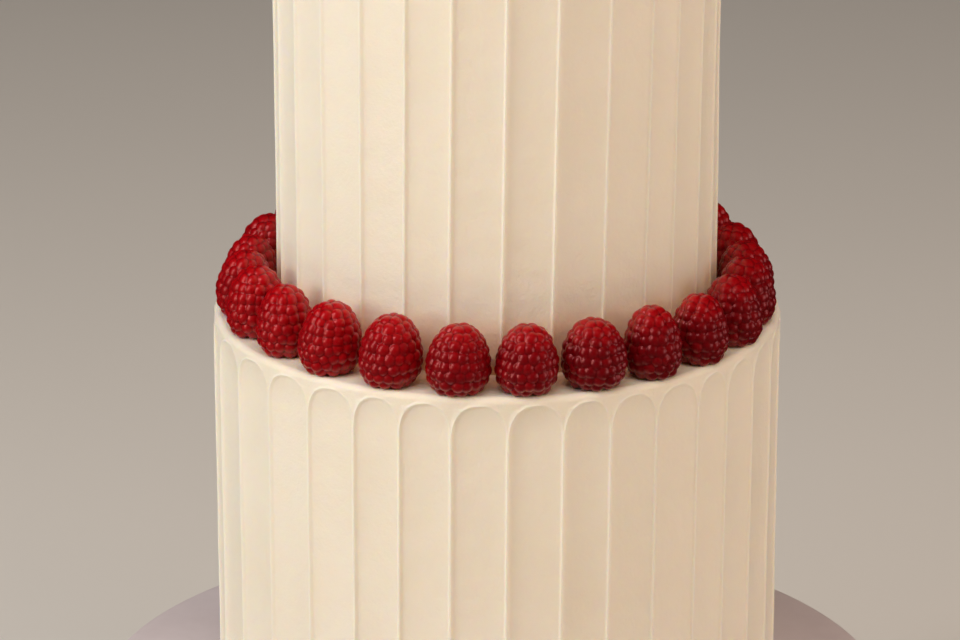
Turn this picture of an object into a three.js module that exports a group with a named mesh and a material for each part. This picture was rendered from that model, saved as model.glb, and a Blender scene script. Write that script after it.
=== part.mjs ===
// Wedding cake of two fluted tiers with a ring of raspberries on the ledge, on a round cake stand.
// Millimetres, +Z up. The origin is the middle of the stand's foot, on the surface it stands on.

import * as THREE from "three";

// Stand: a plate whose underside thickens towards its hub, and a pedestal with a wide foot.
const PLATE_TOP = 112;
const PLATE_RADIUS = 154.3;
const PLATE_EDGE_THICKNESS = 7;
const PLATE_EDGE_ROUND = 2;
const PLATE_HUB_DROP = 5;
const PLATE_HUB_RADIUS = 40;
const PLATE_SIDES = 76;
const STEM_TOP_RADIUS = 32;
const STEM_WAIST_RADIUS = 15;
const STEM_FLARE_POWER = 2.4;
const STEM_STEPS = 6;
const FOOT_RADIUS = 84;
const FOOT_EDGE_HEIGHT = 5;
const FOOT_EDGE_BEVEL = 1.5;
const FOOT_CONE_RISE = 15;
const FOOT_STEPS = 4;
const PEDESTAL_SIDES = 44;

// The flutes and the berries were laid out by hand, so their steps are uneven. Those of the side
// that shows are listed from the left round the front to the right, in degrees from the front (-Y)
// towards +X. Behind them, steps of nearly the same width close the ring.
const LOWER_TIER = {
  radius: 108,
  height: 159.5,
  fluteDepth: 1.3,
  frontCrests: [
    -75.2, -63.3, -51.5, -40.1, -29.2, -19.5, -9.2, 1.8, 12.6, 22.2, 32.2, 42.6, 51.4, 61.5, 72.1,
  ],
  flutesBehind: 20,
  crestLeanDeg: 0.5,
};
const UPPER_TIER = {
  radius: 83.55,
  height: 157.5,
  fluteDepth: 1.25,
  frontCrests: [-75.7, -62.8, -50.1, -36.5, -23.7, -11.6, 1.9, 14.9, 28.7, 41.6, 51.8, 64.1, 75.5],
  flutesBehind: 16,
  crestLeanDeg: 1.7,
};
const FLUTE_STEP_SPREAD = 0.05;
const CREST_LEAN_PIVOT = 0.45;

// Icing: shallow flutes with flat middles and narrow crests between them. Each ends in a round
// arch under the smooth rim. The cake stands a little off the middle of the plate.
const CAKE_OFFSET_X = 2.2;
const RIM_ROUND = 2.3;
const RIM_TURNS_DEG = [0, 45, 90];
const ARCH_GAP_BELOW_RIM = 0.5;
const ARCH_RISE = 12.5;
const ARCH_SQUARENESS = 2.5;
const ARCH_RING_RISES = [0, 0.4, 0.7, 0.88, 1];
const ARCH_TOP_SPREAD = 0.6;
const CREST_HALF_WIDTH = 0.35;
const FLUTE_FLATNESS = 3;
const FLUTE_COLUMNS = [-1, -0.55, 0.55, 1];

// Berries of the side that shows: [degrees, distance from the cake's axis, width, height].
const FRONT_BERRIES = [
  [-111, 95.2, 22, 23.9],
  [-96, 94.9, 21.6, 23.4],
  [-82.2, 96.3, 22.4, 24.8],
  [-68.5, 96.8, 22.6, 26.2],
  [-54.1, 96.7, 22.4, 25.8],
  [-38.5, 97.7, 23.6, 26.3],
  [-23.2, 97.7, 24, 25.8],
  [-8.1, 98.7, 24.2, 24.8],
  [6.3, 98.9, 23.2, 25],
  [21, 98.5, 24, 25],
  [35, 99.1, 22, 26],
  [48.8, 99.3, 21.8, 25.2],
  [63, 98.4, 22.8, 25.6],
  [76.8, 96.5, 22.8, 25.1],
  [90.1, 94.9, 21.4, 24.2],
  [106.3, 95.2, 22, 22.9],
];
const BERRY_STEPS_BEHIND = 10;
const BERRY_STEP_SPREAD = 0.02;
const BERRY_BEHIND = { distance: 95.8, width: [21.2, 22.8], height: [23.4, 25.8] };
const BERRY_LEAN_DEG = 3;
const BERRY_BASE_SHARE = 0.56;
const BERRY_WIDEST_AT = 0.38;
const BERRY_DOME_FALL = 1.7;
const BERRY_DOME_ROUNDNESS = 0.42;
const BERRY_COLUMNS = 18;
const BERRY_ROWS = 8;
const BERRY_TIP_GAP_ROWS = 0.35;
const DRUPELET_DEPTH = 0.8;

const radians = THREE.MathUtils.degToRad;

// Repeatable random number from 0 to 1 for item k.
function chance(k) {
  const x = Math.sin(k * 12.9898 + 4.1) * 43758.5453;
  return x - Math.floor(x);
}

// Angles that carry a ring on from its last listed angle, round the back, to its first. Each may
// be off by a share, spread, of a step.
function anglesBehind(listed, steps, spread) {
  const last = listed[listed.length - 1];
  const step = (listed[0] + 360 - last) / steps;
  const angles = [];
  for (let i = 1; i < steps; i += 1) {
    angles.push(last + step * (i + spread * (2 * chance(i) - 1)));
  }
  return angles;
}

function closedMesh(name, points, faces, material) {
  const geometry = new THREE.BufferGeometry();
  geometry.setAttribute("position", new THREE.Float32BufferAttribute(points.flat(), 3));
  geometry.setIndex(faces.flat());
  geometry.computeVertexNormals();
  const mesh = new THREE.Mesh(geometry, material);
  mesh.name = name;
  return mesh;
}

// Faces of a stack of closed rings with equally many points, listed from the bottom up.
function stackFaces(ringCount, perRing) {
  const faces = [];
  for (let r = 0; r < ringCount - 1; r += 1) {
    for (let i = 0; i < perRing; i += 1) {
      const a = r * perRing + i;
      const b = r * perRing + ((i + 1) % perRing);
      faces.push([a, b, a + perRing], [b, b + perRing, a + perRing]);
    }
  }
  return faces;
}

// Closes the two ends of a stack of rings with a fan round a middle point each.
function capFaces(ringCount, perRing, bottomPoint, topPoint) {
  const faces = [];
  const last = (ringCount - 1) * perRing;
  for (let i = 0; i < perRing; i += 1) {
    const next = (i + 1) % perRing;
    faces.push([bottomPoint, next, i], [topPoint, last + i, last + next]);
  }
  return faces;
}

// Each ring of a tier says its height, how far the rim's rounding sets it in, and how far up the
// arch of the flutes it lies: 0 where the arch springs, 1 at its top and above.
function tierRings(tier) {
  const rimStart = tier.height - RIM_ROUND;
  const archTop = rimStart - ARCH_GAP_BELOW_RIM;
  const rings = [{ z: 0, inset: 0, rise: 0 }];
  for (const rise of ARCH_RING_RISES) {
    rings.push({ z: archTop - ARCH_RISE * (1 - rise), inset: 0, rise });
  }
  for (const turn of RIM_TURNS_DEG) {
    rings.push({
      z: rimStart + RIM_ROUND * Math.sin(radians(turn)),
      inset: RIM_ROUND * (1 - Math.cos(radians(turn))),
      rise: 1,
    });
  }
  return rings;
}

// How far a point lies from a flute's middle line and spring line, as a share: 1 on its outline.
function fluteReach(across, rise) {
  const sum = Math.abs(across) ** ARCH_SQUARENESS + rise ** ARCH_SQUARENESS;
  return Math.min(1, sum ** (1 / ARCH_SQUARENESS));
}

// Angles of all crests of a tier. The last is the first again, a full turn on.
function crestAngles(tier) {
  const behind = anglesBehind(tier.frontCrests, tier.flutesBehind, FLUTE_STEP_SPREAD);
  return [...tier.frontCrests, ...behind, tier.frontCrests[0] + 360];
}

function makeTier(name, tier, baseZ, material) {
  const rings = tierRings(tier);
  const crests = crestAngles(tier);
  const flutes = crests.length - 1;
  const points = [];
  for (const ring of rings) {
    const open = (1 - ring.rise ** ARCH_SQUARENESS) ** (1 / ARCH_SQUARENESS);
    const spread = Math.max(open, ARCH_TOP_SPREAD * ring.rise);
    // The comb leant a little, so the crests drift sideways with height, most on the right.
    const leanShare = tier.crestLeanDeg * (ring.z / tier.height - CREST_LEAN_PIVOT);
    const crestAt = (k) => radians(crests[k] + leanShare * (1 + Math.sin(radians(crests[k]))));
    for (let k = 0; k < flutes; k += 1) {
      const left = crestAt(k);
      const right = crestAt(k + 1);
      const half = ((right - left) / 2) * tier.radius - CREST_HALF_WIDTH;
      for (const column of FLUTE_COLUMNS) {
        const across = column * spread;
        const depth = tier.fluteDepth * (1 - fluteReach(across, ring.rise) ** FLUTE_FLATNESS);
        const angle = (left + right) / 2 + (across * half) / tier.radius;
        const radius = tier.radius - ring.inset - depth;
        points.push([
          CAKE_OFFSET_X + radius * Math.sin(angle),
          -radius * Math.cos(angle),
          baseZ + ring.z,
        ]);
      }
    }
  }
  const perRing = flutes * FLUTE_COLUMNS.length;
  const faces = stackFaces(rings.length, perRing);
  const bottomPoint = points.length;
  points.push([CAKE_OFFSET_X, 0, baseZ], [CAKE_OFFSET_X, 0, baseZ + tier.height]);
  faces.push(...capFaces(rings.length, perRing, bottomPoint, bottomPoint + 1));
  return closedMesh(name, points, faces, material);
}

// Half width of a berry's body at a share of its height, as a share of its widest half width.
function berryBody(share) {
  if (share < BERRY_WIDEST_AT) {
    const below = (BERRY_WIDEST_AT - share) / BERRY_WIDEST_AT;
    return BERRY_BASE_SHARE + (1 - BERRY_BASE_SHARE) * Math.sqrt(1 - below * below);
  }
  const above = (share - BERRY_WIDEST_AT) / (1 - BERRY_WIDEST_AT);
  return Math.max(0, 1 - above ** BERRY_DOME_FALL) ** BERRY_DOME_ROUNDNESS;
}

// All berries as [degrees, distance from the cake's axis, width, height].
function allBerries() {
  const between = ([low, high], share) => low + (high - low) * share;
  const listed = FRONT_BERRIES.map((berry) => berry[0]);
  const behind = anglesBehind(listed, BERRY_STEPS_BEHIND, BERRY_STEP_SPREAD);
  const berriesBehind = behind.map((angle, i) => [
    angle,
    BERRY_BEHIND.distance,
    between(BERRY_BEHIND.width, chance(i + 20)),
    between(BERRY_BEHIND.height, chance(i + 40)),
  ]);
  return [...FRONT_BERRIES, ...berriesBehind];
}

// Rows of points shifted by half a step form a net of triangles. Every third point of the net is
// the top of a drupelet and the rest lie in the furrows between them.
function makeBerry(name, [degrees, distance, width, height], turn, baseZ, material) {
  const centre = radians(degrees);
  const lean = Math.tan(radians(BERRY_LEAN_DEG));

  const place = (radius, angle, z) => {
    const outward = distance - lean * z + radius * Math.cos(angle);
    const sideways = radius * Math.sin(angle);
    return [
      CAKE_OFFSET_X + outward * Math.sin(centre) + sideways * Math.cos(centre),
      -outward * Math.cos(centre) + sideways * Math.sin(centre),
      baseZ + z,
    ];
  };

  const points = [];
  for (let row = 0; row < BERRY_ROWS; row += 1) {
    const share = Math.sin((Math.PI / 2) * (row / (BERRY_ROWS - BERRY_TIP_GAP_ROWS)));
    for (let i = 0; i < BERRY_COLUMNS; i += 1) {
      const isDrupelet = (i - row + 3 * BERRY_ROWS) % 3 === 0 && row > 0;
      const radius = (berryBody(share) * width) / 2 - (isDrupelet ? 0 : DRUPELET_DEPTH);
      const angle = turn + ((i + row / 2) * 2 * Math.PI) / BERRY_COLUMNS;
      points.push(place(radius, angle, share * height));
    }
  }
  const faces = stackFaces(BERRY_ROWS, BERRY_COLUMNS);
  const bottomPoint = points.length;
  points.push(place(0, 0, 0), place(0, 0, height - DRUPELET_DEPTH / 2));
  faces.push(...capFaces(BERRY_ROWS, BERRY_COLUMNS, bottomPoint, bottomPoint + 1));
  return closedMesh(name, points, faces, material);
}

// Turns a half profile of [radius, height] points, listed from the bottom middle to the top middle.
function turned(name, profile, sides, material) {
  const outline = profile.map(([radius, z]) => new THREE.Vector2(radius, z));
  const geometry = new THREE.LatheGeometry(outline, sides);
  geometry.rotateX(Math.PI / 2);
  const mesh = new THREE.Mesh(geometry, material);
  mesh.name = name;
  return mesh;
}

// Quarter round from one point of a profile to the next, bulging to the outside.
function quarterRound(centreRadius, centreZ, round, fromDeg, steps) {
  const arc = [];
  for (let i = 0; i <= steps; i += 1) {
    const a = radians(fromDeg + (90 * i) / steps);
    arc.push([centreRadius + round * Math.cos(a), centreZ + round * Math.sin(a)]);
  }
  return arc;
}

const undersideZ = PLATE_TOP - PLATE_EDGE_THICKNESS;
const hubZ = undersideZ - PLATE_HUB_DROP;

function makePlate(material) {
  const edge = PLATE_RADIUS - PLATE_EDGE_ROUND;
  const profile = [
    [0, hubZ],
    [PLATE_HUB_RADIUS, hubZ],
    ...quarterRound(edge, undersideZ + PLATE_EDGE_ROUND, PLATE_EDGE_ROUND, -90, 2),
    ...quarterRound(edge, PLATE_TOP - PLATE_EDGE_ROUND, PLATE_EDGE_ROUND, 0, 2),
    [0, PLATE_TOP],
  ];
  return turned("stand_plate", profile, PLATE_SIDES, material);
}

// The stem narrows to a waist and widens again towards the foot and the plate.
function makePedestal(material) {
  const coneTop = FOOT_EDGE_HEIGHT + FOOT_CONE_RISE;
  const waistZ = (coneTop + hubZ) / 2;
  const profile = [
    [0, 0],
    [FOOT_RADIUS - FOOT_EDGE_BEVEL, 0],
    [FOOT_RADIUS, FOOT_EDGE_BEVEL],
    [FOOT_RADIUS, FOOT_EDGE_HEIGHT],
  ];
  for (let i = 1; i <= FOOT_STEPS; i += 1) {
    const share = i / FOOT_STEPS;
    const inward = (FOOT_RADIUS - STEM_TOP_RADIUS) * Math.sin((Math.PI / 2) * share);
    profile.push([FOOT_RADIUS - inward, FOOT_EDGE_HEIGHT + FOOT_CONE_RISE * share]);
  }
  for (let i = 1; i <= STEM_STEPS; i += 1) {
    const z = coneTop + ((hubZ - coneTop) * i) / STEM_STEPS;
    const fromWaist = Math.abs(z - waistZ) / (hubZ - waistZ);
    const flare = (STEM_TOP_RADIUS - STEM_WAIST_RADIUS) * fromWaist ** STEM_FLARE_POWER;
    profile.push([STEM_WAIST_RADIUS + flare, z]);
  }
  profile.push([0, hubZ]);
  return turned("stand_pedestal", profile, PEDESTAL_SIDES, material);
}

function matte(color, roughness) {
  return new THREE.MeshStandardMaterial({ color, roughness, metalness: 0 });
}

const ledgeZ = PLATE_TOP + LOWER_TIER.height;
const cake = new THREE.Group();
cake.name = "wedding_cake_on_stand";
cake.add(makePlate(matte("#a89c9c", 0.6)));
cake.add(makePedestal(matte("#a89c9c", 0.6)));
cake.add(makeTier("lower_tier", LOWER_TIER, PLATE_TOP, matte("#eadbc4", 0.6)));
cake.add(makeTier("upper_tier", UPPER_TIER, ledgeZ, matte("#eadbc4", 0.6)));
allBerries().forEach((berry, k) => {
  const name = `raspberry_${String(k + 1).padStart(2, "0")}`;
  const turn = 2 * Math.PI * chance(k + 50);
  cake.add(makeBerry(name, berry, turn, ledgeZ, matte("#9a0c1c", 0.35)));
});

export default cake;
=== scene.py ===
# %% [markdown]
# # A fluted wedding cake with raspberries, dressed for its portrait
#
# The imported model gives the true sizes: a stand, two round tiers and a ring of berries. This lesson
# keeps every one of those places and gives each piece the finer form and the finish that a camera
# sees: soft lips on the icing's ridges, glossy drupelets on the berries, a matt glaze on the stand.

# %% Load the frame
import math

import bmesh
import bpy
import numpy as np
from mathutils import Matrix, Vector, noise


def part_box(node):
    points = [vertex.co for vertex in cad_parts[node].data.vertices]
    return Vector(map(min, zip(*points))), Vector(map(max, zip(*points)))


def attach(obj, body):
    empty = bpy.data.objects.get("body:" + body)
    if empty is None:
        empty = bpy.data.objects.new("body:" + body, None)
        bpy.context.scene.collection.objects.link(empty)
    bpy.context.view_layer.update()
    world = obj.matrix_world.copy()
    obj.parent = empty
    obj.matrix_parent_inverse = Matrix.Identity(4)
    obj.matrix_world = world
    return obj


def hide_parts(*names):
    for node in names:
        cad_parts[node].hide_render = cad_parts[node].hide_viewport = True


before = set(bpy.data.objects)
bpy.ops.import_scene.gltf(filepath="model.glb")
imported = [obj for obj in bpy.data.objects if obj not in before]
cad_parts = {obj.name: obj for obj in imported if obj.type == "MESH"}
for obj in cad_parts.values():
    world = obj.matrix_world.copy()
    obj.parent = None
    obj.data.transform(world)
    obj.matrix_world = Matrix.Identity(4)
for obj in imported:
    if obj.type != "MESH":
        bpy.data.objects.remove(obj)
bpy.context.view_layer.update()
print("nodes in the frame:", len(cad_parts))

# %% [markdown]
# Millimetres are easier to think in than metres, so the lesson's sizes are written in millimetres
# and turned to metres in one place. The boxes of the CAD nodes say where each piece stands.

# %% Sizes from the frame
MM = 0.001


def box_mm(node):
    """Lowest and highest corner of a CAD node, in millimetres."""
    low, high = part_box(node)
    return Vector(low) / MM, Vector(high) / MM


lower_low, lower_high = box_mm("lower_tier")
upper_high = box_mm("upper_tier")[1]
plate_low, plate_high = box_mm("stand_plate")
foot_low, foot_high = box_mm("stand_pedestal")

plate_top = plate_high.z
ledge_z = lower_high.z
cake_x = (lower_low.x + lower_high.x) / 2
print("plate top", round(plate_top, 2), "ledge", round(ledge_z, 2), "cake axis x", round(cake_x, 2))

# %% [markdown]
# The photograph looks down at the ledge from far away with a long lens. A camera fitted to the
# outlines of the tiers, the rim and the plate gives its place, its pitch and the lens.

# %% Camera
PICTURE_WIDTH = 960.0
FOCAL_LENGTH_PIXELS = 4695.0
SENSOR_WIDTH = 36.0
CAMERA_BACK, CAMERA_ABOVE_LEDGE = 1688.0, 582.0
PITCH, YAW, ROLL = math.radians(19.25), math.radians(-0.2175), math.radians(-0.098)

camera_data = bpy.data.cameras.new("portrait_camera")
camera_data.sensor_width = SENSOR_WIDTH
camera_data.lens = FOCAL_LENGTH_PIXELS / PICTURE_WIDTH * SENSOR_WIDTH
camera_data.clip_start, camera_data.clip_end = 0.05, 50.0
camera = bpy.data.objects.new("portrait_camera", camera_data)
bpy.context.collection.objects.link(camera)
camera_place = Vector((cake_x, -CAMERA_BACK, ledge_z + CAMERA_ABOVE_LEDGE)) * MM
camera.matrix_world = (
    Matrix.Translation(camera_place)
    @ Matrix.Rotation(-YAW, 4, "Z")
    @ Matrix.Rotation(math.pi / 2 - PITCH, 4, "X")
    @ Matrix.Rotation(ROLL, 4, "Z")
)
bpy.context.scene.camera = camera
print("lens", round(camera_data.lens, 1), "mm, distance", round(camera_place.length, 2), "m")

# %% [markdown]
# ## Colours and nodes
#
# Colours are picked as sRGB hex values, the way a paint chart gives them. The shaders want linear
# light, so one function turns them. A second small function adds a node, sets its sockets and links
# it, so that each material reads like a recipe.

# %% Colour and node helpers
def linear(hex_colour):
    """An sRGB hex colour as linear RGBA."""
    channels = [int(hex_colour[i : i + 2], 16) / 255 for i in (1, 3, 5)]
    return (*[c / 12.92 if c <= 0.04045 else ((c + 0.055) / 1.055) ** 2.4 for c in channels], 1.0)


def new_material(name):
    """An empty node material, its tree, and a point's place on the object in metres."""
    material = bpy.data.materials.new(name)
    material.use_nodes = True
    material.node_tree.nodes.clear()
    place = add(material.node_tree, "ShaderNodeTexCoord").outputs["Object"]
    return material, material.node_tree, place


def add(tree, kind, settings=None, **sockets):
    """Adds a node. settings are its own properties; a socket gets a value or another node's output."""
    node = tree.nodes.new(kind)
    for key, value in (settings or {}).items():
        setattr(node, key, value)
    for key, value in sockets.items():
        name = int(key[1:]) if key[0] == "i" and key[1:].isdigit() else key.replace("_", " ")
        socket = node.inputs[name]
        if isinstance(value, bpy.types.NodeSocket):
            tree.links.new(value, socket)
        else:
            socket.default_value = value
    return node


def ramp(node, *stops):
    """Sets a colour ramp's stops as (position, colour)."""
    elements = node.color_ramp.elements
    while len(elements) < len(stops):
        elements.new(0.5)
    for element, (position, colour) in zip(elements, stops):
        element.position = position
        element.color = linear(colour)
    return node


def per(size_mm):
    """Scale of a pattern whose grains are this many millimetres across."""
    return 1 / (size_mm * MM)


def painted(tree, share, under, over):
    """One colour laid over another: share is how much of the upper one shows."""
    mix = add(tree, "ShaderNodeMix", {"data_type": "RGBA"}, i0=share, i6=under, i7=linear(over))
    return mix.outputs[2]


# %% [markdown]
# ## Buttercream
#
# The icing is butter and icing sugar, beaten and scraped round with a toothed comb. Butter fat lets
# light in and scatters it a millimetre or two deep, red light farthest, which softens shadows and
# warms them. The thin lips between the flutes let more light through, and that glow is painted into
# their colour as a lighter tone. A scraped surface keeps fine pores, faint drag lines up and down,
# and a low satin sheen.
#
# The berries throw red light on the icing next to them and shade the corner behind them. That red
# bounce light and shade are painted into the icing's colour, up to the berries' own height, by
# distance from that corner. Distance along the ledge counts 1.3 times, so that the ledge's front
# stays pale.

# %% Where the red bounce light and shade are painted
PAINTED_BOUNCE_FULL, PAINTED_BOUNCE_END = 9.0, 27.0
LEDGE_WEIGHT = 1.3


def painted_bounce_share(tree, place):
    """Share of painted red bounce and shade: 1 in the corner between ledge and upper wall, 0 away from it.
    """
    centred = add(
        tree, "ShaderNodeMapping", Vector=place, Location=(-cake_x * MM, 0.0, -ledge_z * MM)
    ).outputs["Vector"]
    flat = add(tree, "ShaderNodeMapping", Vector=centred, Scale=(1.0, 1.0, 0.0))
    out = add(tree, "ShaderNodeVectorMath", {"operation": "LENGTH"}, Vector=flat.outputs["Vector"])
    wall = (upper_high.x - cake_x) * MM
    past_wall = add(tree, "ShaderNodeMath", {"operation": "SUBTRACT"}, i0=out.outputs["Value"], i1=wall)
    ledge = add(
        tree, "ShaderNodeMath", {"operation": "MULTIPLY"}, i0=past_wall.outputs["Value"], i1=LEDGE_WEIGHT
    )
    up = add(tree, "ShaderNodeSeparateXYZ", Vector=centred)
    corner = add(tree, "ShaderNodeCombineXYZ", X=ledge.outputs["Value"], Z=up.outputs["Z"])
    away = add(tree, "ShaderNodeVectorMath", {"operation": "LENGTH"}, Vector=corner.outputs["Vector"])
    painted_bounce = add(
        tree,
        "ShaderNodeMapRange",
        {"interpolation_type": "SMOOTHSTEP"},
        Value=away.outputs["Value"],
        From_Min=PAINTED_BOUNCE_FULL * MM,
        From_Max=PAINTED_BOUNCE_END * MM,
        To_Min=1.0,
        To_Max=0.0,
    )
    return painted_bounce.outputs["Result"]


# %% Buttercream material
CLOUD, DRAG_ACROSS, DRAG_ALONG, SWELL, PORE = 40.0, 2.2, 60.0, 8.0, 1.1


def make_buttercream():
    material, tree, place = new_material("buttercream_scraped")
    lip = add(tree, "ShaderNodeAttribute", {"attribute_name": "lip"}).outputs["Fac"]

    # Slow changes of tone, about 40 mm across, from butter beaten unevenly.
    clouds = add(tree, "ShaderNodeTexNoise", Vector=place, Scale=per(CLOUD), Detail=3.0, Roughness=0.55)
    tone = ramp(
        add(tree, "ShaderNodeValToRGB", Fac=clouds.outputs["Fac"]), (0.25, "#f3e9d8"), (0.75, "#f6eddf")
    )
    # Painted glow: the lips between the flutes are painted in a lighter tone.
    painted_lip_glow = painted(tree, lip, tone.outputs["Color"], "#f8f1e4")
    # Painted red bounce light and shade in the corner behind the berries.
    bounce_and_shade_painted = painted(tree, painted_bounce_share(tree, place), painted_lip_glow, "#f5cdae")

    # Drag lines of the scraper run up the flutes: noise squeezed across and stretched along Z.
    # The pores are about 1 mm apart, coarser than real ones, which would be too fine to show.
    drag_scale = (per(DRAG_ACROSS), per(DRAG_ACROSS), per(DRAG_ALONG))
    drag_space = add(tree, "ShaderNodeMapping", Vector=place, Scale=drag_scale).outputs["Vector"]
    drag = add(tree, "ShaderNodeTexNoise", Vector=drag_space, Scale=1.0, Detail=2.0)
    pores = add(tree, "ShaderNodeTexNoise", Vector=place, Scale=per(PORE), Detail=3.0, Roughness=0.6)
    swells = add(tree, "ShaderNodeTexNoise", Vector=place, Scale=per(SWELL), Detail=3.0)
    bump = add(tree, "ShaderNodeBump", Height=drag.outputs["Fac"], Strength=0.16, Distance=0.4 * MM)
    for pattern, strength, height_mm in ((swells, 0.65, 0.8), (pores, 0.5, 0.3)):
        bump = add(
            tree,
            "ShaderNodeBump",
            Height=pattern.outputs["Fac"],
            Strength=strength,
            Distance=height_mm * MM,
            Normal=bump.outputs["Normal"],
        )
    rough = add(tree, "ShaderNodeMapRange", Value=clouds.outputs["Fac"], To_Min=0.46, To_Max=0.58)
    surface = add(
        tree,
        "ShaderNodeBsdfPrincipled",
        Base_Color=bounce_and_shade_painted,
        Roughness=rough.outputs["Result"],
        IOR=1.46,
        Subsurface_Weight=0.5,
        Subsurface_Radius=(1.0, 0.70, 0.32),
        Subsurface_Scale=1.6 * MM,
        Normal=bump.outputs["Normal"],
    )
    add(tree, "ShaderNodeOutputMaterial", Surface=surface.outputs["BSDF"])
    return material


buttercream = make_buttercream()
print("made", buttercream.name)

# %% [markdown]
# ## Raspberry skin
#
# A raspberry is a cluster of drupelets, each a tight, thin skin over clear red juice. The juice
# takes in green and blue light at once, so lit places glow scarlet and shaded places go nearly
# black-red, most of all in the furrows between drupelets. The skin is glossy. Part of each
# highlight comes back through red juice, which is why a raspberry's highlights look pink and not
# white: the reflection is tinted and a little stronger than a dry skin's.

# %% Raspberry material
SKIN_GRAIN = 0.6


def make_raspberry():
    material, tree, place = new_material("raspberry_skin")
    # The ripeness attribute holds each drupelet's ripeness together with painted shade, deeper on the
    # berries towards the shaded right, and painted light at their tips.
    ripeness = add(tree, "ShaderNodeAttribute", {"attribute_name": "ripeness"}).outputs["Fac"]
    furrow = add(tree, "ShaderNodeAttribute", {"attribute_name": "furrow"}).outputs["Fac"]
    flesh = ramp(add(tree, "ShaderNodeValToRGB", Fac=ripeness), (0.0, "#c0020e"), (1.0, "#640007"))
    # Painted shade: the furrows between drupelets are painted a darker red.
    furrow_shade_painted = painted(tree, furrow, flesh.outputs["Color"], "#620006")
    skin = add(tree, "ShaderNodeTexNoise", Vector=place, Scale=per(SKIN_GRAIN), Detail=2.0)
    bump = add(tree, "ShaderNodeBump", Height=skin.outputs["Fac"], Strength=0.08, Distance=0.2 * MM)
    surface = add(
        tree,
        "ShaderNodeBsdfPrincipled",
        Base_Color=furrow_shade_painted,
        Roughness=0.30,
        IOR=1.50,
        Specular_IOR_Level=1.0,
        Specular_Tint=(1.0, 0.35, 0.35, 1.0),
        Subsurface_Weight=0.10,
        Subsurface_Radius=(1.0, 0.04, 0.03),
        Subsurface_Scale=1.2 * MM,
        Normal=bump.outputs["Normal"],
    )
    add(tree, "ShaderNodeOutputMaterial", Surface=surface.outputs["BSDF"])
    return material


raspberry = make_raspberry()
print("made", raspberry.name)

# %% [markdown]
# ## Matt stoneware
#
# The stand is stoneware with a matt grey-mauve glaze. A matt glaze is full of tiny crystals, so it
# scatters light softly, with hardly a highlight, and its tone clouds a little where it lay thicker.

# %% Stoneware material
GLAZE_CLOUD, GLAZE_GRAIN = 30.0, 0.8


def make_stoneware():
    material, tree, place = new_material("stoneware_matt_glaze")
    clouds = add(
        tree, "ShaderNodeTexNoise", Vector=place, Scale=per(GLAZE_CLOUD), Detail=4.0, Roughness=0.6
    )
    tone = ramp(
        add(tree, "ShaderNodeValToRGB", Fac=clouds.outputs["Fac"]), (0.3, "#d5c8cb"), (0.7, "#ded2d5")
    )
    grain = add(tree, "ShaderNodeTexNoise", Vector=place, Scale=per(GLAZE_GRAIN), Detail=2.0)
    bump = add(tree, "ShaderNodeBump", Height=grain.outputs["Fac"], Strength=0.10, Distance=0.2 * MM)
    surface = add(
        tree,
        "ShaderNodeBsdfPrincipled",
        Base_Color=tone.outputs["Color"],
        Roughness=0.62,
        IOR=1.52,
        Normal=bump.outputs["Normal"],
    )
    add(tree, "ShaderNodeOutputMaterial", Surface=surface.outputs["BSDF"])
    return material


stoneware = make_stoneware()
print("made", stoneware.name)

# %% [markdown]
# ## From bmesh to a piece
#
# Each piece is one closed bmesh, with its faces pointing outwards, turned into an object at the
# origin. It then rides on the object's one body and stands for its CAD node.

# %% Piece helper
def finished_mesh(name, bm, material):
    """Turns bm into a mesh object at the origin."""
    mesh = bpy.data.meshes.new(name)
    bm.to_mesh(mesh)
    bm.free()
    mesh.materials.append(material)
    made = bpy.data.objects.new(name, mesh)
    bpy.context.collection.objects.link(made)
    return made


def make_piece(name, bm, material, nodes, attributes=None):
    """Turns bm into a piece that replaces these CAD nodes. attributes are named values per vertex."""
    for face in bm.faces:
        face.smooth = True
    piece = finished_mesh(name, bm, material)
    for key, values in (attributes or {}).items():
        layer = piece.data.attributes.new(key, "FLOAT", "POINT")
        layer.data.foreach_set("value", np.asarray(values, dtype=np.float32))
    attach(piece, "root")
    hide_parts(*nodes)
    print(name, "faces", len(piece.data.polygons))
    return piece


# %% [markdown]
# ## Flutes
#
# The comb leaves shallow channels, nearly flat in the middle, with a thin raised lip between each
# two. At the top every channel ends in a round arch under the smooth rim. The comb was set by hand,
# so the crests between the channels stand at uneven steps and lean a little. The steps that show in
# the photograph are listed as angles from the front, and even ones close the ring behind them.

# %% Places of the crests
BACK_UNEVENNESS = 0.05


def chance(k):
    """Repeatable random number from 0 to 1 for item k."""
    x = math.sin(k * 12.9898 + 4.1) * 43758.5453
    return x - math.floor(x)


def crest_angles(front, behind):
    """All crests in degrees from the front towards the right. The last is the first, a turn on."""
    step = (front[0] + 360 - front[-1]) / behind
    nudges = [BACK_UNEVENNESS * (2 * chance(i) - 1) for i in range(1, behind)]
    back = [front[-1] + step * (i + nudge) for i, nudge in enumerate(nudges, 1)]
    return np.array([*front, *back, front[0] + 360])


LOWER = dict(
    radius=108.0,
    depth=1.3,
    crests=crest_angles(
        (-75.2, -63.3, -51.5, -40.1, -29.2, -19.5, -9.2, 1.8, 12.6, 22.2, 32.2, 42.6, 51.4, 61.5, 72.1), 20
    ),
    lean=0.8,
    base=plate_top,
    top=lower_high.z,
    seed=3.0,
)
UPPER = dict(
    radius=83.55,
    depth=1.25,
    crests=crest_angles(
        (-75.7, -62.8, -50.1, -36.5, -23.7, -11.6, 1.9, 14.9, 28.7, 41.6, 51.8, 64.1, 75.5), 16
    ),
    lean=1.7,
    base=ledge_z,
    top=upper_high.z,
    seed=11.0,
)
print("flutes:", len(LOWER["crests"]) - 1, "and", len(UPPER["crests"]) - 1)

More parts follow.
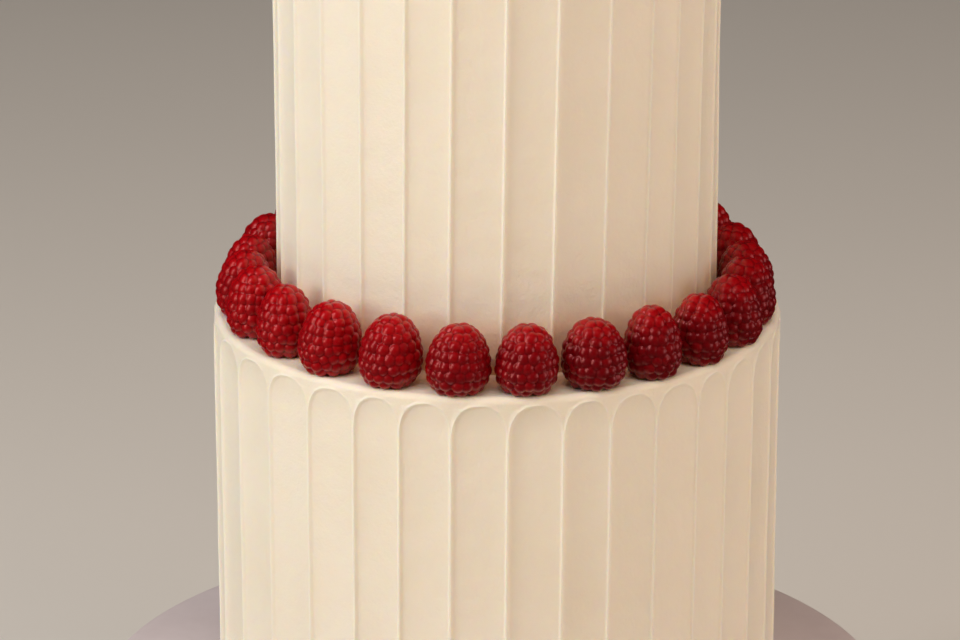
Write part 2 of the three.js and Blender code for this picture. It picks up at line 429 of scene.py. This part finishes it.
# %% [markdown]
# The tier is a height map wrapped round a cylinder. Each ring of vertices has a fixed number of
# columns per flute, close together at the lips and far apart on the flat bottom. Up in the arch the
# columns follow its outline, so that the lip stays sharp with few faces.

# %% Rings and columns of the net
RIM_ROUND = 2.3
ARCH_GAP = 0.5
ARCH_RISE = 12.7
ARCH_SQUARENESS = 2.25
STRAIGHT_RINGS, RIM_RINGS = 19, 9
BELOW_ARCH, BELOW_RIM = 2.0, 0.05
# Shares of the arch's rise at which a ring lies, closer together where the arch turns flat.
ARCH_RINGS = np.concatenate([np.linspace(-0.1, 0.7, 13), np.arange(0.73, 1.2, 0.024)])
# Distances in mm from a flute's edge, then shares of what is left to its middle.
NEAR_EDGE = np.array([0, 0.14, 0.29, 0.46, 0.68, 1.0, 1.5, 2.3])
TO_MIDDLE = np.array([0.25, 0.6, 1.0])
# Shares of the crest between two flutes at which a column lies.
OVER_CREST = np.array([0.2, 0.5, 0.8])


def columns(half):
    """Distances across one flute from its middle, from the left edge to the right."""
    left = np.concatenate([-half + NEAR_EDGE, (-half + NEAR_EDGE[-1]) * (1 - TO_MIDDLE)])
    return np.concatenate([left, -left[-2::-1]])


def tier_heights(tier):
    """Heights of the rings, in mm above the tier's base, with the rim's inset of each."""
    height = tier["top"] - tier["base"]
    rim_start = height - RIM_ROUND
    spring = rim_start - ARCH_GAP - ARCH_RISE
    straight = np.linspace(0, spring - BELOW_ARCH, STRAIGHT_RINGS)
    arch = spring + ARCH_RISE * ARCH_RINGS
    arch = arch[arch < rim_start - BELOW_RIM]
    turn = np.radians(np.linspace(0, 90, RIM_RINGS))
    rim = rim_start + RIM_ROUND * np.sin(turn)
    inset = np.concatenate([np.zeros(len(straight) + len(arch)), RIM_ROUND * (1 - np.cos(turn))])
    return np.concatenate([straight, arch, rim]), inset, spring


print("columns per flute:", 2 * (len(NEAR_EDGE) + len(TO_MIDDLE)) - 1 + len(OVER_CREST))

# %% [markdown]
# A scraper that is drawn round leaves the two sides of a channel unlike each other: a broad slope
# inside the left edge and a tight one inside the right, with hardly any icing piled up on the right
# of the arch. These one-sided slopes are what catch the light from the left.

# %% The form of a flute
FLATNESS_LEFT, FLATNESS_RIGHT = 3.2, 2.2
# From this share of the half width on, and over this span, the left form turns into the right one.
TURN_START, TURN_SPAN = -0.3, 0.8
CREST_HALF = 0.20
LIP_HEIGHT = 0.48
LIP_WIDTH = 0.42
LIP_SLOPE_LEFT = 0.72
RIGHT_ARC_LOSS, ARC_LOSS_RISE = 0.65, 0.3
ARCH_DEPTH_LOSS = 0.3
NARROWEST_NET = 0.62
STILL_HEIGHT = 0.45


def smooth(x):
    """Eased step from 0 to 1."""
    x = np.clip(x, 0, 1)
    return x * x * (3 - 2 * x)


def arch_shape(across, half, rise):
    """How far a point is from a flute's outline: as a share (1 on it), and in mm."""
    side = np.clip(np.abs(across) / half, 1e-6, None)
    power = ARCH_SQUARENESS
    reach = (side**power + rise**power) ** (1 / power)
    slope = np.hypot(side ** (power - 1) / half, rise ** (power - 1) / ARCH_RISE) * reach ** (1 - power)
    return reach, (reach - 1) / slope


def flute_relief(tier, across, full, rise):
    """Depth of the hollow and share of the lip at points across one flute."""
    half = full - CREST_HALF
    # Beyond the crest a point belongs to the next flute, so it is measured from that one.
    mirrored = np.where(across > full, 2 * full - across, np.abs(across))
    reach, distance = arch_shape(mirrored, half, rise)
    rightward = smooth((across / half - TURN_START) / TURN_SPAN) * (across < full)
    flatness = FLATNESS_LEFT + (FLATNESS_RIGHT - FLATNESS_LEFT) * rightward
    depth = tier["depth"] * (1 - ARCH_DEPTH_LOSS * min(1, rise) ** 2)
    hollow = depth * np.clip(1 - reach**flatness, 0, 1)
    inside = LIP_SLOPE_LEFT + (LIP_WIDTH - LIP_SLOPE_LEFT) * rightward
    width = np.where((distance < 0) & (across < full), inside, LIP_WIDTH)
    lip = np.exp(-((distance / width) ** 2))
    return hollow, lip * (1 - RIGHT_ARC_LOSS * smooth(rise / ARC_LOSS_RISE) * rightward)


def flute_grid(tier):
    """Angle, radius, height and lip value of every vertex of a tier's wall, ring by ring."""
    heights, insets, spring = tier_heights(tier)
    radius = tier["radius"]
    angles, radii, lips = [], [], []
    for z, inset in zip(heights, insets):
        lean = tier["lean"] * (z / heights[-1] - STILL_HEIGHT)
        crests = np.radians(tier["crests"] + lean * (1 + np.sin(np.radians(tier["crests"]))))
        rise = max(0.0, (z - spring) / ARCH_RISE)
        open_share = max(0.0, 1 - rise**ARCH_SQUARENESS) ** (1 / ARCH_SQUARENESS)
        for left, right in zip(crests[:-1], crests[1:]):
            full = (right - left) / 2 * radius
            spread = (full - CREST_HALF) * max(open_share, NARROWEST_NET)
            across = np.concatenate([columns(spread), spread + (2 * full - 2 * spread) * OVER_CREST])
            hollow, lip = flute_relief(tier, across, full, rise)
            angles.append((left + right) / 2 + across / radius)
            radii.append(radius - inset - hollow - LIP_HEIGHT * (1 - lip))
            lips.append(lip)
    shape = (len(heights), -1)
    return [np.reshape(v, shape) for v in (angles, radii)] + [heights, np.reshape(lips, shape)]


# %% [markdown]
# `bmesh` makes the net: one circle of edges is extruded upwards ring by ring, and then each vertex
# moves to its place. A hand holds the comb, so no surface is perfectly true. Slow noise moves the
# wall in and out by a tenth or two of a millimetre, enough for the light to waver on it. The wall
# is held back by a quarter of a millimetre, so that the waver never leaves the CAD box.

# %% Tier builder
TOP_SHARES = (0.985, 0.95, 0.9, 0.8, 0.6, 0.3)
HELD_BACK = 0.25
TOP_WAVER = 0.6
# Height and length in mm of the slow and the quick waver.
SLOW_WAVER, QUICK_WAVER = (0.22, 38.0), (0.07, 13.0)


def extruded_ring(bm, edges):
    """Extrudes a closed loop of edges a little upwards and gives the new loop's edges."""
    made = bmesh.ops.extrude_edge_only(bm, edges=edges)["geom"]
    bmesh.ops.translate(bm, verts=[g for g in made if isinstance(g, bmesh.types.BMVert)], vec=(0, 0, MM))
    return [g for g in made if isinstance(g, bmesh.types.BMEdge) and g.is_boundary]


def waver(spot, seed):
    """Slow in and out of a hand-smoothed surface, in mm."""
    shift = Vector((seed, seed, seed))
    slow = SLOW_WAVER[0] * noise.noise(spot / SLOW_WAVER[1] + shift)
    return slow + QUICK_WAVER[0] * noise.noise(spot / QUICK_WAVER[1] - shift)


def with_top(tier):
    """The wall's net and the rings that lie on the flat top and shrink towards the middle."""
    angles, radii, heights, lips = flute_grid(tier)
    around, rim = angles.shape[1], radii[-1].mean()
    angles = np.vstack([angles] + [angles[-1:]] * len(TOP_SHARES))
    radii = np.vstack([radii] + [np.full((1, around), rim * share) for share in TOP_SHARES])
    heights = np.concatenate([heights, np.full(len(TOP_SHARES), heights[-1])]) + tier["base"]
    return angles, radii, heights, np.vstack([lips, np.zeros((len(TOP_SHARES), around))])


def make_tier(node, tier):
    angles, radii, heights, lips = with_top(tier)
    rings, around = angles.shape
    bm = bmesh.new()
    bmesh.ops.create_circle(bm, cap_ends=False, radius=tier["radius"] * MM, segments=around)
    loop = list(bm.edges)
    for _ in range(rings - 1):
        loop = extruded_ring(bm, loop)
    bm.verts.ensure_lookup_table()
    for ring in range(rings):
        for i in range(around):
            angle, radius = angles[ring, i], radii[ring, i]
            spot = Vector((radius * math.sin(angle), -radius * math.cos(angle), heights[ring]))
            sway = waver(spot, tier["seed"]) - HELD_BACK
            if ring < rings - len(TOP_SHARES):
                grow = 1 + sway / radius
                spot = Vector((spot.x * grow, spot.y * grow, spot.z))
            else:
                spot.z += TOP_WAVER * sway
            bm.verts[ring * around + i].co = (spot + Vector((cake_x, 0, 0))) * MM
    bmesh.ops.holes_fill(bm, edges=[e for e in bm.edges if e.is_boundary], sides=0)
    bmesh.ops.recalc_face_normals(bm, faces=bm.faces)
    return make_piece(node + "_iced", bm, buttercream, [node], {"lip": lips.ravel()})


make_tier("lower_tier", LOWER)
make_tier("upper_tier", UPPER)

# %% [markdown]
# ## Raspberries
#
# Each fruit is modelled on its own, so that no two are alike. Its body is a dome with a narrower
# flat base. On that body the drupelets sit in staggered rows like small balloons, a little longer
# towards the tip, where five or six of them close round a dimple.

# %% The body of a berry
BODY_WIDEST = 0.38
BODY_BASE = 0.56
DOME_FALL, DOME_ROUNDNESS = 1.7, 0.42
CURVE_POINTS = 800
LOOK_AHEAD = 0.3


def body_radius(share):
    """Half width of the body at a share of its height, as a share of the widest."""
    low = np.clip((BODY_WIDEST - share) / BODY_WIDEST, 0, 1)
    high = np.clip((share - BODY_WIDEST) / (1 - BODY_WIDEST), 0, 1)
    return np.where(
        share < BODY_WIDEST,
        BODY_BASE + (1 - BODY_BASE) * np.sqrt(1 - low**2),
        np.clip(1 - high**DOME_FALL, 0, 1) ** DOME_ROUNDNESS,
    )


class BodyCurve:
    """Outline of a berry's core, from the middle of its base to its tip, by length along it."""

    def __init__(self, half, height, inset):
        share = np.sin(np.linspace(0, math.pi / 2, CURVE_POINTS)) ** 2
        radius, z = body_radius(share) * half, share * height
        slope_r, slope_z = np.gradient(radius), np.gradient(z)
        size = np.hypot(slope_r, slope_z)
        radius = np.clip(radius - inset * slope_z / size, 0, None)
        z = z + inset * slope_r / size
        self.radius = np.concatenate([[0.0], radius])
        self.z = np.concatenate([z[:1], z])
        steps = np.hypot(np.diff(self.radius), np.diff(self.z))
        self.length = np.concatenate([[0], np.cumsum(steps)])
        self.base_edge, self.total = self.length[1], self.length[-1]

    def at(self, along):
        """Radius, height, and the outline's direction (outward, upward) there."""
        low = np.clip(along - LOOK_AHEAD, 0, None)
        high = np.clip(along + LOOK_AHEAD, None, self.total)
        run = np.interp(high, self.length, self.radius) - np.interp(low, self.length, self.radius)
        rise = np.interp(high, self.length, self.z) - np.interp(low, self.length, self.z)
        size = np.hypot(run, rise)
        middle = np.interp(along, self.length, self.radius), np.interp(along, self.length, self.z)
        return *middle, run / size, rise / size


# %% [markdown]
# The rows of drupelets start at the base. Each row is turned by half a step against the one below,
# and every drupelet is nudged a little, because fruit isn't knitted. The lowest row and the one at
# the tip have the widest drupelets, and those at the tip are also the longest.

# %% Rows of drupelets
DRUPELET = 3.9
ROW_STEP = 3.4
BALLOON = 0.84
STAND_OUT = 1.45
BASE_RING, TIP_RING = 1.2, 2.9
# Width and length of the drupelets at the tip, in the row below it and elsewhere.
TIP_SIZE, NEXT_SIZE, PLAIN_SIZE = (1.22, 1.3), (1.08, 1.12), (1.0, 1.0)
ANGLE_NUDGE, ALONG_NUDGE, DEPTH_NUDGE = 0.10, 0.28, 0.10
SMALLEST, LARGEST = 0.88, 1.12
FEWEST_IN_ROW = 5


def drupelets(curve, rng):
    """Each drupelet as x, y, z, its meridian's x, y, z, its parallel's x, y, radius, stretch, ripeness."""
    first, last = curve.base_edge + BASE_RING, curve.total - TIP_RING
    rows = int(round((last - first) / ROW_STEP))
    turn = rng.uniform(0, 2 * math.pi)
    found = []
    for row in range(rows + 1):
        along = first + (last - first) * row / rows
        growth, stretch = {0: TIP_SIZE, 1: NEXT_SIZE}.get(rows - row, PLAIN_SIZE)
        wide = DRUPELET * (TIP_SIZE[0] if row == 0 else growth)
        girth = 2 * math.pi * (curve.at(along)[0] + 0.5 * STAND_OUT)
        count = max(FEWEST_IN_ROW, int(round(girth / wide)))
        turn += math.pi / count
        for i in range(count):
            angle = turn + 2 * math.pi * (i + rng.normal(0, ANGLE_NUDGE)) / count
            r, z, out, up = curve.at(along + rng.normal(0, ALONG_NUDGE))
            c, s = math.cos(angle), math.sin(angle)
            size = wide * BALLOON * rng.uniform(SMALLEST, LARGEST)
            deep = size - STAND_OUT + rng.normal(0, DEPTH_NUDGE)
            centre = ((r - deep * up) * c, (r - deep * up) * s, z + deep * out)
            meridian = (out * c, out * s, up)
            found.append((*centre, *meridian, -s, c, size, stretch, rng.uniform(0, 1)))
    return np.array(found)


# %% [markdown]
# A fine ball supplies the mesh. Its latitude becomes length along the outline, and every vertex
# then rises along its normal to the outermost drupelet over it. Where two drupelets meet, a furrow
# is left. Its place is kept as an attribute for the painted shade in the furrows, and so is each
# drupelet's ripeness.

# %% The surface of a berry
FURROW_WIDTH = 0.22


def berry_surface(ball, half, height, rng):
    """Points, furrow and ripeness of one berry that stands on z = 0 round the axis."""
    curve = BodyCurve(half, height, STAND_OUT)
    longitude = np.arctan2(ball[:, 1], ball[:, 0])
    along = np.arccos(np.clip(-ball[:, 2], -1, 1)) / math.pi * curve.total
    r, z, out, up = curve.at(along)
    c, s = np.cos(longitude), np.sin(longitude)
    points = np.stack([r * c, r * s, z], axis=1)
    normal = np.stack([up * c, up * s, -out], axis=1)

    drupes = drupelets(curve, rng)
    gap = drupes[None, :, :3] - points[:, None, :]
    forward = np.einsum("ijk,ik->ij", gap, normal)
    climb = np.einsum("ijk,jk->ij", gap, drupes[:, 3:6]) / drupes[:, 9]
    sideways = gap[:, :, 0] * drupes[:, 6] + gap[:, :, 1] * drupes[:, 7]
    inside = drupes[:, 8] ** 2 - climb**2 - sideways**2
    rise = np.where(inside > 0, forward + np.sqrt(np.clip(inside, 0, None)), -1.0)
    ordered = np.sort(rise, axis=1)
    lead = ordered[:, -1] - np.clip(ordered[:, -2], 0, None)
    points += normal * np.clip(ordered[:, -1:], 0, None)
    return points, np.exp(-((lead / FURROW_WIDTH) ** 2)), drupes[np.argmax(rise, axis=1), 10]


# %% [markdown]
# Each berry takes its place, height and width from its CAD solid. It leans inward by three degrees,
# as the solid does, and a touch to one side. Its lowest drupelets are pressed flat by 0.3 mm, as by
# its weight on the icing. Riper fruit is deeper in colour. Each front berry's tone also holds painted
# shade, deeper towards the shaded right, and the tip is painted brighter, as painted light from above
# and through its thin tip.

# %% Berry builder
BERRY_SEED = 100
BALL_CUTS = 6
LEAN = math.tan(math.radians(3.0))
SIDE_LEAN_DEGREES, SIDE_LEAN_FOOT = 1.5, 0.4
SINK = 0.3
MOST_OVAL = 0.03
# The few facets of the CAD berry cut its width by a quarter of a millimetre at its widest.
FACET_LOSS = 0.25
DRUPELET_RIPENESS = 0.18
# The tip's painted light: the tone it is painted towards, how strongly, and the share of the height where
# it starts.
TIP_LIT_TONE, TIP_PAINTED_LIGHT, TIP_START = 0.1, 0.55, 0.6
# Tone of the berries from the left rear round the front to the right, 0 pale to 1 deep: painted shade,
# deeper towards the shaded right.
FRONT_SHADE_TONE = (
    0.69, 0.63, 0.57, 0.50, 0.54, 0.57, 0.68, 0.80, 0.88, 0.98, 0.97, 0.97, 0.97, 0.95, 0.92, 0.87
)
BACK_RIPENESS = (0.55, 0.9)


def make_berry(node, number):
    rng = np.random.default_rng(BERRY_SEED + number)
    cad = np.array([v.co[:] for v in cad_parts[node].data.vertices]) / MM
    low, high = cad.min(axis=0), cad.max(axis=0)
    middle, height = (low + high) / 2, high[2] - low[2]
    around = math.atan2(middle[0] - cake_x, -middle[1])
    outward = np.array([math.sin(around), -math.cos(around), 0])
    sideways = np.array([math.cos(around), math.sin(around), 0])
    upright = cad - middle + np.outer((cad[:, 2] - middle[2]) * LEAN, outward)
    across = max(np.ptp(upright @ outward), np.ptp(upright @ sideways)) + FACET_LOSS

    bm = bmesh.new()
    bmesh.ops.create_icosphere(bm, subdivisions=BALL_CUTS, radius=1.0)
    ball = np.array([v.co[:] for v in bm.verts])
    points, furrow, ripeness = berry_surface(ball, across / 2, height, rng)

    # No fruit is round, so the body is a little oval.
    oval, oval_turn = rng.uniform(0.0, MOST_OVAL), rng.uniform(0, math.pi)
    longitude = np.arctan2(points[:, 1], points[:, 0])
    points[:, :2] *= (1 + oval * np.cos(2 * (longitude - oval_turn)))[:, None]
    points[:, :2] *= across / np.ptp(points[:, :2], axis=0)
    points[:, 2] -= points[:, 2].min() + SINK
    points[:, 2] = np.clip(points[:, 2] * height / points[:, 2].max(), 0, None)
    side_lean = math.tan(math.radians(rng.normal(0, SIDE_LEAN_DEGREES)))
    out, side, up = points.T
    out = out + LEAN * (height / 2 - up)
    side = side + side_lean * (up - SIDE_LEAN_FOOT * height)
    spots = middle + np.outer(out, outward) + np.outer(side, sideways)
    spots[:, 2] = low[2] + up
    for vertex, spot in zip(bm.verts, spots):
        vertex.co = Vector(spot) * MM
    bmesh.ops.recalc_face_normals(bm, faces=bm.faces)
    # Each berry's tone: painted shade for the front berries, a chance ripeness for those behind.
    ripeness_and_light = FRONT_SHADE_TONE[number] if number < len(FRONT_SHADE_TONE) else rng.uniform(*BACK_RIPENESS)
    ripeness_and_light = ripeness_and_light + DRUPELET_RIPENESS * (ripeness - 0.5)
    # Painted light: towards the tip the berry is painted brighter.
    to_tip = smooth((up / height - TIP_START) / (1 - TIP_START))
    ripeness_and_light += TIP_PAINTED_LIGHT * to_tip * (TIP_LIT_TONE - ripeness_and_light)
    values = {"furrow": furrow, "ripeness": ripeness_and_light}
    return make_piece(node + "_ripe", bm, raspberry, [node], values)


berry_nodes = sorted(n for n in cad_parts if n.startswith("raspberry_"))
berries = [make_berry(node, number) for number, node in enumerate(berry_nodes)]
print("berries:", len(berries))

# %% [markdown]
# ## The stand
#
# A potter turns the plate and the pedestal on a wheel. The spin operator does the same: a half
# profile is drawn as a chain of edges and spun round the upright axis. The plate's edge is rounded
# and the underside thickens towards the hub.

# %% Turning on the wheel
def spun(name, outline, sides, material, nodes):
    """Spins a half profile of (radius, height) in mm about the upright axis into a closed piece."""
    bm = bmesh.new()
    start = bm.verts.new((outline[0][0] * MM, 0, outline[0][1] * MM))
    for (r0, z0), (r1, z1) in zip(outline[:-1], outline[1:]):
        made = bmesh.ops.extrude_vert_indiv(bm, verts=[start])["verts"]
        bmesh.ops.translate(bm, verts=made, vec=((r1 - r0) * MM, 0, (z1 - z0) * MM))
        start = made[0]
    bmesh.ops.spin(
        bm,
        geom=list(bm.verts) + list(bm.edges),
        cent=(0, 0, 0),
        axis=(0, 0, 1),
        angle=2 * math.pi,
        steps=sides,
        use_merge=True,
    )
    bmesh.ops.remove_doubles(bm, verts=bm.verts, dist=1e-6)
    bmesh.ops.recalc_face_normals(bm, faces=bm.faces)
    return make_piece(name, bm, material, nodes)


def quarter(centre_radius, centre_z, round_mm, from_deg, steps=6):
    """A quarter round of a profile."""
    turns = [math.radians(from_deg + 90 * i / steps) for i in range(steps + 1)]
    return [(centre_radius + round_mm * math.cos(t), centre_z + round_mm * math.sin(t)) for t in turns]


# %% Plate
PLATE_EDGE_THICK, PLATE_EDGE_ROUND, PLATE_EDGE_FLAT = 7.0, 2.0, 1.0
PLATE_SIDES = 256
# Radius, and height above the hub, of the plate's underside.
UNDERSIDE = ((0, 0), (20, 0), (40, 0), (70, 1.3), (110, 3.1))
TOP_RADII = (120, 60, 0)

plate_edge = (plate_high.x - plate_low.x) / 2 - PLATE_EDGE_ROUND
edge_under = plate_top - PLATE_EDGE_THICK
plate_outline = (
    [(r, plate_low.z + z) for r, z in UNDERSIDE]
    + quarter(plate_edge, edge_under + PLATE_EDGE_ROUND, PLATE_EDGE_ROUND, -90)
    + quarter(plate_edge, plate_top - PLATE_EDGE_ROUND, PLATE_EDGE_ROUND, 0)
    + [(r, plate_top) for r in (plate_edge - PLATE_EDGE_FLAT, *TOP_RADII)]
)
spun("stand_plate_glazed", plate_outline, PLATE_SIDES, stoneware, ["stand_plate"])

# %% [markdown]
# The pedestal isn't in the photograph. It takes the plain form of a common one: a round foot, a
# low cone that rises to a slim waist, and a stem that widens again under the plate.

# %% Pedestal
FOOT_EDGE, FOOT_ROUND, FOOT_MIDDLE, CONE_RISE = 5.0, 1.5, 40.0, 15.0
STEM_TOP, STEM_WAIST, STEM_CURVE = 32.0, 15.0, 2.4
CONE_STEPS, STEM_STEPS, PEDESTAL_SIDES = 16, 32, 160

foot_radius = (foot_high.x - foot_low.x) / 2
cone_top = FOOT_EDGE + CONE_RISE
waist_z = (cone_top + foot_high.z) / 2
pedestal_outline = [
    (0, 0),
    (FOOT_MIDDLE, 0),
    (foot_radius - FOOT_ROUND, 0),
    (foot_radius, FOOT_ROUND),
    (foot_radius, FOOT_EDGE),
]
for i in range(1, CONE_STEPS + 1):
    share = i / CONE_STEPS
    r = foot_radius + (STEM_TOP - foot_radius) * math.sin(math.pi / 2 * share)
    pedestal_outline.append((r, FOOT_EDGE + CONE_RISE * share))
for i in range(1, STEM_STEPS + 1):
    z = cone_top + (foot_high.z - cone_top) * i / STEM_STEPS
    from_waist = abs(z - waist_z) / (foot_high.z - waist_z)
    pedestal_outline.append((STEM_WAIST + (STEM_TOP - STEM_WAIST) * from_waist**STEM_CURVE, z))
pedestal_outline.append((0, foot_high.z))
spun("stand_pedestal_glazed", pedestal_outline, PEDESTAL_SIDES, stoneware, ["stand_pedestal"])

# %% [markdown]
# ## Floor and light
#
# A plain pale floor of matt paper, wide enough to fill every view. It is left out of reflections,
# so that it lays no grey veil on the glossy berries.

# %% Floor
FLOOR_REACH_METRES = 12.0


def make_floor():
    material, tree, place = new_material("floor_paper")
    clouds = add(tree, "ShaderNodeTexNoise", Vector=place, Scale=2.0, Detail=2.0)
    tone = ramp(
        add(tree, "ShaderNodeValToRGB", Fac=clouds.outputs["Fac"]), (0.0, "#e4e0da"), (1.0, "#e8e4de")
    )
    surface = add(tree, "ShaderNodeBsdfPrincipled", Base_Color=tone.outputs["Color"], Roughness=0.9)
    add(tree, "ShaderNodeOutputMaterial", Surface=surface.outputs["BSDF"])
    bm = bmesh.new()
    bmesh.ops.create_grid(bm, x_segments=2, y_segments=2, size=FLOOR_REACH_METRES)
    floor = finished_mesh("floor", bm, material)
    floor.visible_glossy = False


make_floor()

# %% [markdown]
# The light is soft and comes mostly from the left and above. Two narrow soft boxes at the left draw
# the small highlights on the berries, and a broad one beside them keeps the shadows soft. A large
# box stands high in front, for the ledge. Warm fills at the right let the icing fall slowly from
# pale cream on the left to warm beige, as the photograph shows. Only the boxes marked to shine are
# seen in glossy skin. A weak light behind serves the other views.

# %% Lights
def soft_box(name, azimuth, elevation, distance, size, power, colour, shine=False):
    """An area light that looks at the middle of the cake, with its distance and size in metres.

    Azimuth 0 is the front and grows to the right. A light that doesn't shine is left out of gloss.
    """
    light = bpy.data.lights.new(name, "AREA")
    light.shape = "RECTANGLE"
    light.size, light.size_y = size
    light.energy = power
    light.color = colour
    holder = bpy.data.objects.new(name, light)
    bpy.context.collection.objects.link(holder)
    a, e = math.radians(azimuth), math.radians(elevation)
    target = Vector((cake_x * MM, 0, ledge_z * MM))
    toward = Vector((math.sin(a) * math.cos(e), -math.cos(a) * math.cos(e), math.sin(e)))
    holder.location = target + toward * distance
    holder.rotation_euler = toward.to_track_quat("Z", "Y").to_euler()
    holder.visible_glossy = shine


soft_box("key_high", -60, 44, 1.8, (0.42, 0.80), 7.4, (1.0, 0.99, 1.00), shine=True)
soft_box("key_low", -64, 14, 1.8, (0.44, 0.70), 6.3, (1.0, 0.95, 0.80), shine=True)
soft_box("key_broad", -58, 30, 2.0, (2.2, 1.8), 12.8, (1.0, 0.97, 0.90))
soft_box("front_high", 0, 64, 2.2, (2.0, 1.4), 19.0, (1.0, 0.91, 0.86))
soft_box("front_middle", 30, 26, 2.4, (1.6, 0.9), 6.4, (1.0, 0.70, 0.42))
soft_box("fill_right", 62, 34, 2.3, (1.8, 1.6), 11.2, (1.0, 0.72, 0.48))
soft_box("fill_side", 80, 8, 2.2, (1.4, 1.2), 8.4, (1.0, 0.92, 0.90), shine=True)
soft_box("back_high", 180, 50, 2.4, (2.2, 1.6), 4.0, (1.0, 0.95, 0.90))
print("lights:", len(bpy.data.lights))

# %% Air and view
SKY_STRENGTH = 0.01

world = bpy.data.worlds.new("studio")
world.use_nodes = True
bpy.context.scene.world = world
sky = world.node_tree.nodes["Background"]
sky.inputs["Color"].default_value = linear("#fff4e6")
sky.inputs["Strength"].default_value = SKY_STRENGTH
bpy.context.scene.view_settings.view_transform = "Standard"
bpy.context.scene.view_settings.look = "None"
